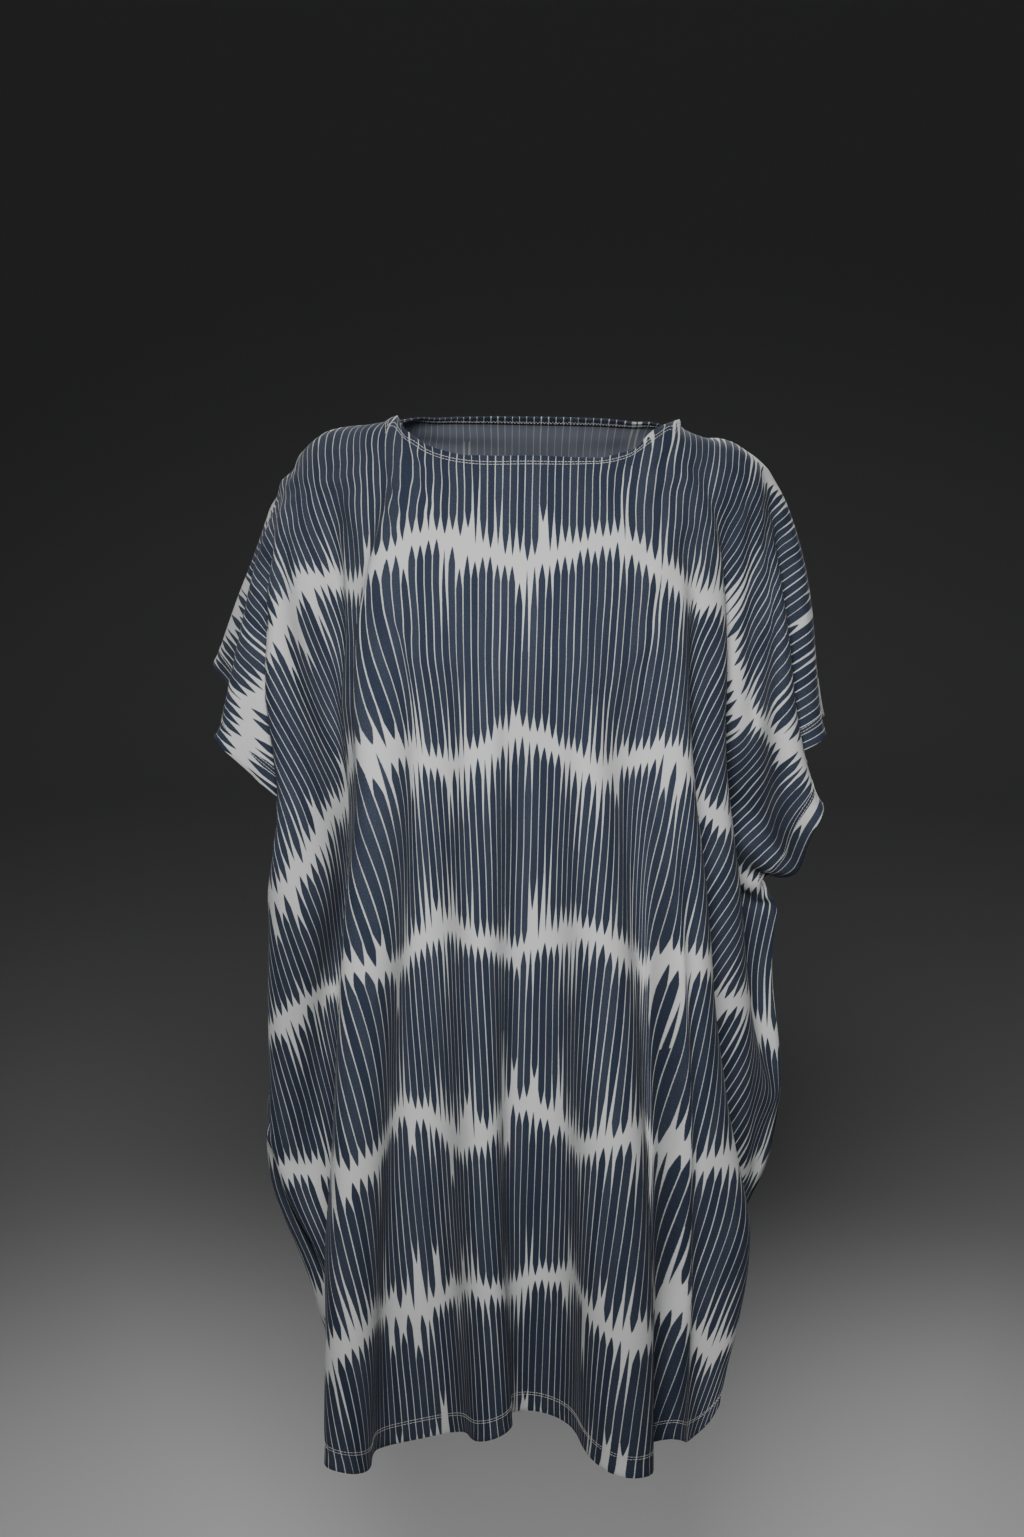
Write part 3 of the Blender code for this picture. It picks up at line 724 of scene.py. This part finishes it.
NAVY = (0.0140, 0.0245, 0.0560, 1.0)
PALE = (0.740, 0.755, 0.735, 1.0)
NAVY_BEHIND = (0.130, 0.145, 0.185, 1.0)
PALE_BEHIND = (0.330, 0.335, 0.340, 1.0)
LINE_PITCH = 0.0065
REPEAT = 0.170  # from one pale band to the next, along the cloth
ZIGZAG_WIDTH = 0.156  # 24 lines
ZIGZAG_HEIGHT = 0.016
BAND_HEIGHT = 0.005
WALE = 0.0009  # the width of one column of knitted loops
COURSE = 0.0007
SWAY = 0.0040  # how far the lines wander sideways
LINE_FULL, LINE_THIN = 0.482, 0.425  # half a line's width between its tips, in pitches
RAGGED, LINE_SOFT = 0.10, 0.045  # how frayed and how soft its edges are, in pitches
TIP, TIP_POWER = 0.014, 0.72  # how long a line takes to reach its width, and how blunt its tip is
LONG_TIP, LONG_RARITY = 0.070, 8.0  # how much longer a few take
START, LATE_START, LATE_RARITY = 0.007, 0.040, 14.0  # how far from the band lines start, and a few more
FADED = 0.16  # how pale the palest navy is
WORN = 0.86  # how dark the darkest off-white is
DEEP = 0.80  # how dark the darkest navy line is


def feed(socket, value):
    """Gives an input a number, a colour or another node's output."""
    if isinstance(value, Number):
        value = value.socket
    if isinstance(value, bpy.types.NodeSocket):
        socket.id_data.links.new(value, socket)
    else:
        socket.default_value = value


def feed_all(node, **given):
    """Feeds a node's inputs by name, with an underscore for each space."""
    for name, value in given.items():
        feed(node.inputs[name.replace("_", " ")], value)


def new_node(tree, kind, settings=(), **given):
    """A new node with these settings and inputs."""
    node = tree.nodes.new(kind)
    for name, value in settings:
        setattr(node, name, value)
    feed_all(node, **given)
    return node


class Number:
    """A node's output that can be reckoned with: each step of a formula makes a Math node."""

    def __init__(self, socket):
        self.socket, self.tree = socket, socket.id_data

    def step(self, kind, *values):
        """A Math node on these values."""
        node = new_node(self.tree, "ShaderNodeMath", (("operation", kind),))
        for socket, value in zip(node.inputs, values):
            feed(socket, value)
        return Number(node.outputs[0])

    def by(self, kind, *others):
        """A Math node on this number and others."""
        return self.step(kind, self, *others)

    def __add__(self, other):
        return self.by("ADD", other)

    def __sub__(self, other):
        return self.by("SUBTRACT", other)

    def __rsub__(self, other):
        return self.step("SUBTRACT", other, self)

    def __mul__(self, other):
        return self.by("MULTIPLY", other)

    def __truediv__(self, other):
        return self.by("DIVIDE", other)

    def __pow__(self, other):
        return self.by("POWER", other)


def spread(value, low, high, new_low=0.0, new_high=1.0):
    """A smooth Map Range node."""
    node = new_node(value.tree, "ShaderNodeMapRange", (("interpolation_type", "SMOOTHSTEP"),), Value=value,
                    From_Min=low, From_Max=high, To_Min=new_low, To_Max=new_high)
    return Number(node.outputs["Result"])


def joined(*parts):
    """A vector of three numbers."""
    node = new_node(next(part.tree for part in parts if isinstance(part, Number)), "ShaderNodeCombineXYZ")
    for socket, part in zip(node.inputs, parts):
        feed(socket, part)
    return Number(node.outputs[0])


def noise(vector, scale, detail=2.0, roughness=0.5):
    """A Noise node's value."""
    return Number(new_node(vector.tree, "ShaderNodeTexNoise", Vector=vector, Scale=scale, Detail=detail,
                           Roughness=roughness).outputs[0])


def chance_of(*parts):
    """A White Noise node's value, one for each set of whole numbers."""
    vector = joined(*parts)
    return Number(new_node(vector.tree, "ShaderNodeTexWhiteNoise", Vector=vector).outputs["Value"])


def new_group(name, numbers_in, outputs):
    """A node group that reads the cut coordinates and numbers, and gives numbers."""
    tree = bpy.data.node_groups.new(name, "ShaderNodeTree")
    tree.interface.new_socket("Cut", in_out="INPUT", socket_type="NodeSocketVector")
    for given, value in numbers_in:
        socket = tree.interface.new_socket(given, in_out="INPUT", socket_type="NodeSocketFloat")
        socket.default_value = value
    for made in outputs:
        tree.interface.new_socket(made, in_out="OUTPUT", socket_type="NodeSocketFloat")
    entry = new_node(tree, "NodeGroupInput").outputs
    given = {socket.name: Number(socket) for socket in entry if socket.name}
    u, v = new_node(tree, "ShaderNodeSeparateXYZ", Vector=given["Cut"]).outputs[:2]
    return tree, given, new_node(tree, "NodeGroupOutput"), Number(u), Number(v)


def ikat_group():
    """Feathered lines: Pale is 0 on a navy line and 1 on bare cloth."""
    tree, given, made, u, v = new_group(
        "ikat_lines", (("Pitch", LINE_PITCH), ("Repeat", REPEAT), ("Zigzag Width", ZIGZAG_WIDTH),
                       ("Zigzag Height", ZIGZAG_HEIGHT), ("Band", BAND_HEIGHT)), ("Pale", "Depth"))
    place = (u + (noise(joined(u * 9.0, v * 5.0, 0.0), 1.0) - 0.5) * SWAY) / given["Pitch"]
    line = place.by("FLOOR")
    off = (place.by("FRACT") - 0.5).by("ABSOLUTE")
    # the zigzag, mirrored from one row of lines to the next
    wave = ((line + 0.5) * given["Pitch"] / given["Zigzag Width"]).by("PINGPONG", 0.5) * 4.0 - 1.0
    wave = wave * given["Zigzag Height"] / given["Repeat"]
    rows = v / given["Repeat"]
    row, within = rows.by("FLOOR"), rows.by("FRACT")
    lift = wave * (1.0 - row.by("FLOORED_MODULO", 2.0) * 2.0)
    # how far it is from the nearer pale band, and on which side
    above = within - lift
    below = 1.0 - lift - within
    nearer = below.by("ABSOLUTE").by("LESS_THAN", above.by("ABSOLUTE"))
    band = row + nearer
    past = above - nearer * (above + below)
    end = past.by("GREATER_THAN", 0.0)
    apart = past.by("ABSOLUTE") * given["Repeat"]
    # each end of each line starts and widens in its own way
    chance, other_chance = chance_of(line, band, end), chance_of(line, band, end + 31.0)
    start_of = given["Band"] * 0.3 + (chance * START + chance ** LATE_RARITY * LATE_START)
    taper = other_chance ** LONG_RARITY * LONG_TIP + TIP
    share = ((apart - start_of) / taper).by("MAXIMUM", 0.0).by("MINIMUM", 1.0) ** TIP_POWER
    slow = noise(joined(line * 3.7, v * 7.0, 0.0), 1.0, 1.0)
    half = share * spread(slow, 0.30, 0.75, LINE_FULL, LINE_THIN)
    half = half + (noise(joined(u, v, 0.0), 1400.0, 1.0) - 0.5) * RAGGED
    pale = spread(off, half - LINE_SOFT, half + LINE_SOFT)
    feed_all(made, Pale=pale.by("MAXIMUM", share.by("LESS_THAN", 0.02)), Depth=chance_of(line, 5.0, 9.0))
    return tree


def knit_group():
    """Knitted loops: Height is their relief, Fleck the fibres that took more or less colour."""
    tree, given, made, u, v = new_group(
        "jersey_knit", (("Wale", WALE), ("Course", COURSE)), ("Height", "Fleck"))
    off = ((u / given["Wale"]).by("FRACT") - 0.5).by("ABSOLUTE")
    rib = 1.0 - off * off * 4.0
    loop = ((v / given["Course"] + off * 1.3) * (2.0 * math.pi)).by("SINE")
    uneven = noise(joined(u, v, 0.0), 260.0, 3.0, 0.6)
    fibre = noise(joined(u, v * 0.7, 0.0), 1500.0, 2.0, 0.7)
    cloud = noise(joined(u, v, 0.0), 34.0, 3.0, 0.55)
    feed_all(made, Height=rib * 0.6 + loop * 0.2 + uneven * 0.7,
             Fleck=spread(fibre, 0.35, 0.75) + cloud * 0.5)
    return tree


ikat_lines = ikat_group()
jersey_knit = knit_group()


def colour_mix(share, first, second):
    """A Mix node on colours."""
    node = new_node(share.tree, "ShaderNodeMix", (("data_type", "RGBA"),), Factor=share)
    feed(node.inputs[6], first)
    feed(node.inputs[7], second)
    return Number(node.outputs[2])


def darker(colour, share):
    """A colour at a share of its brightness."""
    return (*(share * part for part in colour[:3]), 1.0)


def relief(height, strength, distance):
    """A Bump node's normals."""
    return new_node(height.tree, "ShaderNodeBump", Strength=strength, Distance=distance,
                    Height=height).outputs["Normal"]


def jersey_material(name, navy, pale, sheen, fleck_share):
    """Printed jersey. The colours are those of the print and of the bare cloth on this side."""
    material, shader = principled(name)
    where = new_node(material.node_tree, "ShaderNodeUVMap", (("uv_map", "cut"),)).outputs[0]
    seen = {}
    for group in (ikat_lines, jersey_knit):
        node = new_node(material.node_tree, "ShaderNodeGroup", (("node_tree", group),), Cut=where)
        seen.update({socket.name: Number(socket) for socket in node.outputs})
    faded = tuple(low + FADED * (high - low) for low, high in zip(navy, pale))
    ink = colour_mix(seen["Fleck"] * fleck_share, navy, faded)
    ink = colour_mix(seen["Depth"] * 0.55, ink, darker(navy, DEEP))
    bare = colour_mix(seen["Fleck"] * 0.5, pale, darker(pale, WORN))
    feed_all(shader, Base_Color=colour_mix(seen["Pale"], ink, bare), Roughness=0.94 - seen["Height"] * 0.10,
             Normal=relief(seen["Height"], 0.55, 0.00022), Specular_IOR_Level=0.25,
             Sheen_Weight=sheen, Sheen_Roughness=0.45, Sheen_Tint=(0.80, 0.84, 0.95, 1.0))
    return material


jersey = jersey_material("jersey", NAVY, PALE, 0.06, 0.45)
jersey_behind = jersey_material("jersey_wrong_side", NAVY_BEHIND, PALE_BEHIND, 0.10, 0.6)

for face, name in PANELS:
    panels[face].data.materials.append(jersey)
    panels[face].data.materials.append(jersey_behind)
    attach(panels[face], "root")
    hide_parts(name)

# --------------------------------------
# The hems: the raw edge of the neck, of each sleeve and of the bottom is turned once to the inside and
# stitched down, so each is a narrow strip of the right side lying against the wrong side.

NECK_HEM = 0.010
SLEEVE_HEM = 0.020
BOTTOM_HEM = 0.022
HEM_GAP = 0.00015  # between the panel and the strip turned up against it
HEM_ROWS = np.linspace(0.0, 1.0, 6)  # across a strip, from the raw edge to the fold
NECK_ROWS, NECK_STEPS = 5, 81
SLEEVES = ((-1, "sleeve_hem_right"), (1, "sleeve_hem_left"))
BOTTOMS = ((-1, "front_hem"), (1, "back_hem"))
top_of_column = np.array([column_top(column) for column in range(-COLUMNS // 2, COLUMNS // 2 + 1)])


def on_cloth(face, u, v):
    """Points of the surface and outward normals at places of the cut."""
    u, v = np.broadcast_arrays(np.asarray(u, float), np.asarray(v, float))
    top = unfanned(u, v)
    columns = np.interp(top, top_of_column, np.arange(COLUMNS + 1)) * FINE
    length = length_at(top)
    neck = np.array([neck_at(x, face) for x in top.ravel()]).reshape(top.shape)
    spread = length * NECK_SPREAD
    rows = np.where((v < spread) & (neck > 0.0), (v - neck) / (spread - neck) * NECK_SPREAD, v / length)
    rows = np.clip(rows, 0.0, 1.0) * ROWS * FINE
    c = np.minimum(columns.astype(int), COLUMNS * FINE - 1)
    r = np.minimum(rows.astype(int), ROWS * FINE - 1)
    cf, rf = (columns - c)[..., None], (rows - r)[..., None]
    found = []
    for values in (surface[face], surface_out[face]):
        found.append((values[c, r] * (1 - cf) + values[c + 1, r] * cf) * (1 - rf)
                     + (values[c, r + 1] * (1 - cf) + values[c + 1, r + 1] * cf) * rf)
    return found[0], unit(found[1])


def strip(node, points, normals, places):
    """A hem strip between rows of places, lying inside the panel, in place of this node."""
    depth = half_thickness + HEM_GAP
    outer, inner = points - normals * (depth + CLOTH_THICKNESS), points - normals * depth
    made = shell(node + "_strip", outer, inner, places)
    made.data.materials.append(jersey)
    made.data.materials.append(jersey_behind)
    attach(made, "root")
    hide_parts(node)
    return made


# the bottom of each panel, from side seam to side seam
bottom_top = np.interp(np.arange(COLUMNS * FINE + 1) / FINE, np.arange(COLUMNS + 1), top_of_column)
bottom_length = length_at(bottom_top)
strips = {}
for face, name in BOTTOMS:
    v = bottom_length[:, None] - BOTTOM_HEM * (1.0 - HEM_ROWS)
    u = fanned(bottom_top[:, None], v)
    places = np.stack([u, v], -1) + PRINT_SHIFT[face]
    strips[name] = strip(name, *facing(face, *on_cloth(face, u, v), places))

# each sleeve's edge, down the front from the shoulder to the underarm and up the back
for side, name in SLEEVES:
    v = np.linspace(0.0, SIDE_LENGTH * ARMHOLE_ROW / ROWS, ARMHOLE_ROW * FINE + 1)[:, None]
    u = side * (half_width(v) - SLEEVE_HEM * (1.0 - HEM_ROWS))
    parts = []
    for face in FACES:
        places = np.stack(np.broadcast_arrays(u, v), -1) + PRINT_SHIFT[face]
        parts.append(facing(-face, *on_cloth(face, u, v), places))
    ring = [np.concatenate([front[:-1], back]) for front, back in zip(*parts)]
    strips[name] = strip(name, *facing(-side, *ring))

# the neck's edge, across the front and back across the back
def neck_line(face, depth, count):
    """Places of the cut a given way out from the neck edge, corner to corner."""
    turn = np.linspace(-math.pi / 2.0, math.pi / 2.0, count)
    u = NECK_HALF * np.sin(turn)
    v = np.array([neck_at(x, face) for x in u])
    run = unit(np.stack([np.gradient(u), np.gradient(v)], 1))
    out = np.stack([-run[:, 1], run[:, 0]], 1)
    out[0], out[-1] = (-1.0, 0.0), (1.0, 0.0)
    return u + depth * out[:, 0], np.maximum(v + depth * out[:, 1], 0.0)


ring = []
for face in FACES:
    depths = [NECK_HEM * k / (NECK_ROWS - 1) for k in range(NECK_ROWS)]
    u, v = np.moveaxis(np.array([neck_line(face, depth, NECK_STEPS) for depth in depths]), 0, -1)
    places = np.stack([u, v], -1) + PRINT_SHIFT[face]
    ring.append([values[max(face, 0):] for values in facing(face, *on_cloth(face, u, v), places)])
strips["neck_hem"] = strip("neck_hem", *[np.concatenate(parts) for parts in zip(*ring)])

# --------------------------------------
# The thread: off-white twin-needle stitching. Two rows of short stitches show outside each hem, and the
# looper thread zigzags between them on the inside.

STITCH_PITCH = 0.0030
STITCH_LENGTH = 0.0023
NEEDLES_APART = 0.0025
THREAD_RADIUS = 0.00026
STITCH_RISE = 0.00030


def stitch_tree():
    """Puts a small bowed stitch at every point, along 'run' and standing out along 'out'."""
    tree = bpy.data.node_groups.new("stitches", "GeometryNodeTree")
    tree.interface.new_socket("Geometry", in_out="OUTPUT", socket_type="NodeSocketGeometry")
    names = {}
    for name, kind, value in (
            ("Geometry", "Geometry", None), ("Length", "Float", STITCH_LENGTH),
            ("Rise", "Float", STITCH_RISE), ("Radius", "Float", THREAD_RADIUS), ("Sideways", "Float", 0.0),
            ("Thread", "Material", None)):
        socket = tree.interface.new_socket(name, in_out="INPUT", socket_type="NodeSocket" + kind)
        if value is not None:
            socket.default_value = value
        names[name] = socket.identifier
    entry = new_node(tree, "NodeGroupInput").outputs
    length, rise, aside = (Number(entry[name]) for name in ("Length", "Rise", "Sideways"))

    def stored(name):
        """A vector stored with the points."""
        kind = (("data_type", "FLOAT_VECTOR"),)
        return new_node(tree, "GeometryNodeInputNamedAttribute", kind, Name=name).outputs["Attribute"]

    bow = new_node(tree, "GeometryNodeCurveQuadraticBezier", Resolution=4,
                   Start=joined(length * -0.5, aside * -0.5, rise * -0.8),
                   Middle=joined(0.0, 0.0, rise * 2.2), End=joined(length * 0.5, aside * 0.5, rise * -0.8))
    section = new_node(tree, "GeometryNodeCurvePrimitiveCircle", Resolution=5, Radius=entry["Radius"])
    body = new_node(tree, "GeometryNodeCurveToMesh", Curve=bow.outputs[0], Profile_Curve=section.outputs[0],
                    Fill_Caps=True)
    turn = new_node(tree, "FunctionNodeAxesToRotation", (("primary_axis", "Z"), ("secondary_axis", "X")),
                    Primary_Axis=stored("out"), Secondary_Axis=stored("run"))
    laid = new_node(tree, "GeometryNodeInstanceOnPoints", Points=entry["Geometry"], Instance=body.outputs[0],
                    Rotation=turn.outputs[0])
    real = new_node(tree, "GeometryNodeRealizeInstances", Geometry=laid.outputs[0])
    dyed = new_node(tree, "GeometryNodeSetMaterial", Geometry=real.outputs[0], Material=entry["Thread"])
    new_node(tree, "NodeGroupOutput", Geometry=dyed.outputs[0])
    return tree, names


def thread_material():
    """Off-white spun polyester, twisted."""
    material, shader = principled("thread")
    where = new_node(material.node_tree, "ShaderNodeTexCoord").outputs["Object"]
    shade = noise(Number(where), 2600.0, 2.0, 0.6)
    feed_all(shader, Base_Color=colour_mix(shade, (0.56, 0.55, 0.51, 1.0), (0.80, 0.79, 0.75, 1.0)),
             Roughness=spread(shade, 0.2, 0.8, 0.62, 0.82), Normal=relief(shade, 0.5, 0.0001))
    return material


stitches, stitch_inputs = stitch_tree()
thread = thread_material()


def stitch_places(face, u, v, lift, phase=0.5):
    """Evenly spaced points on a line of the cut, with the way it runs and the way out."""
    points, normals = on_cloth(face, u, v)
    gone = np.concatenate([[0.0], np.cumsum(np.linalg.norm(np.diff(points, axis=0), axis=1))])
    count = max(2, int(gone[-1] / STITCH_PITCH))
    at = (np.arange(count) + phase) * gone[-1] / count
    u, v = np.interp(at, gone, u), np.interp(at, gone, v)
    points, normals = on_cloth(face, u, v)
    run = np.gradient(points, axis=0)
    run -= normals * np.sum(run * normals, axis=1, keepdims=True)
    return points + normals * lift, unit(run), normals


def stitched(name, lines, length=STITCH_LENGTH, sideways=0.0):
    """One piece of thread work made of several lines of stitches."""
    points, run, out = (np.concatenate(parts) for parts in zip(*lines))
    mesh = bpy.data.meshes.new(name + "_places")
    mesh.from_pydata(points.tolist(), [], [])
    for key, vectors in (("run", run), ("out", out)):
        mesh.attributes.new(key, "FLOAT_VECTOR", "POINT").data.foreach_set("vector", vectors.ravel())
    places = in_scene(name + "_places", mesh)
    sewing = places.modifiers.new("sewing", "NODES")
    sewing.node_group = stitches
    sewing[stitch_inputs["Length"]] = length
    sewing[stitch_inputs["Sideways"]] = sideways
    sewing[stitch_inputs["Thread"]] = thread
    drawn = bpy.data.meshes.new_from_object(places.evaluated_get(bpy.context.evaluated_depsgraph_get()))
    bpy.data.objects.remove(places)
    made = in_scene(name, drawn)
    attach(made, "root")
    return made


OUTSIDE = half_thickness + THREAD_RADIUS * 0.3
INSIDE = -(half_thickness + HEM_GAP + CLOTH_THICKNESS + THREAD_RADIUS * 0.3)
LOOPER_REACH = 0.52  # length of one slant of the looper thread, in stitches
EDGE_STEPS = 200
HEM_SEWN = 0.0020  # from the raw edge of a turned hem to the nearer row of stitches


def twin_needle(name, needle_lines, looper_lines):
    """The needle rows outside, and the looper thread that zigzags between them inside."""
    made = [stitched(name + "_stitching", [stitch_places(*line, OUTSIDE) for line in needle_lines])]
    for way, lean, phase in (("out", 1.0, 0.25), ("back", -1.0, 0.75)):
        lines = [stitch_places(*line, INSIDE, phase) for line in looper_lines]
        length, sideways = STITCH_PITCH * LOOPER_REACH, lean * NEEDLES_APART
        made.append(stitched(f"{name}_looper_{way}", lines, length, sideways))
    return made


BETWEEN = NEEDLES_APART / 2.0
sewn = {}
for face, name in BOTTOMS:
    at = bottom_length - BOTTOM_HEM + HEM_SEWN
    needles = [(face, fanned(bottom_top, v), v) for v in (at, at + NEEDLES_APART)]
    sewn[name] = twin_needle(name, needles, [(face, fanned(bottom_top, at + BETWEEN), at + BETWEEN)])
edge_v = np.linspace(0.0, SIDE_LENGTH * ARMHOLE_ROW / ROWS, EDGE_STEPS)
for side, name in SLEEVES:
    inner, middle, outer = (side * (half_width(edge_v) - SLEEVE_HEM + HEM_SEWN + step)
                            for step in (0.0, BETWEEN, NEEDLES_APART))
    sewn[name] = twin_needle(name, [(face, u, edge_v) for face in FACES for u in (inner, outer)],
                             [(face, middle, edge_v) for face in FACES])
neck_lines = {step: [(face, *neck_line(face, NECK_HEM - HEM_SEWN - step, EDGE_STEPS)) for face in FACES]
              for step in (0.0, BETWEEN, NEEDLES_APART)}
sewn["neck_hem"] = twin_needle("neck_hem", neck_lines[0.0] + neck_lines[NEEDLES_APART], neck_lines[BETWEEN])

# --------------------------------------
# The whole dress: for each panel the area of its cut is reckoned, and the strips and stitching sewn to it are
# gathered.

for face in FACES:
    corners = cut[grid[face]]
    ahead, aside = corners[1:, 1:] - corners[:-1, :-1], corners[1:, :-1] - corners[:-1, 1:]
    float(np.abs(ahead[..., 0] * aside[..., 1] - ahead[..., 1] * aside[..., 0]).sum() / 2.0)
on_front = ("front_hem", "neck_hem", "sleeve_hem_left", "sleeve_hem_right")
for face, names in ((-1, on_front), (1, ("back_hem",))):
    others = [strips[name] for name in names] + [piece for name in names for piece in sewn[name]]
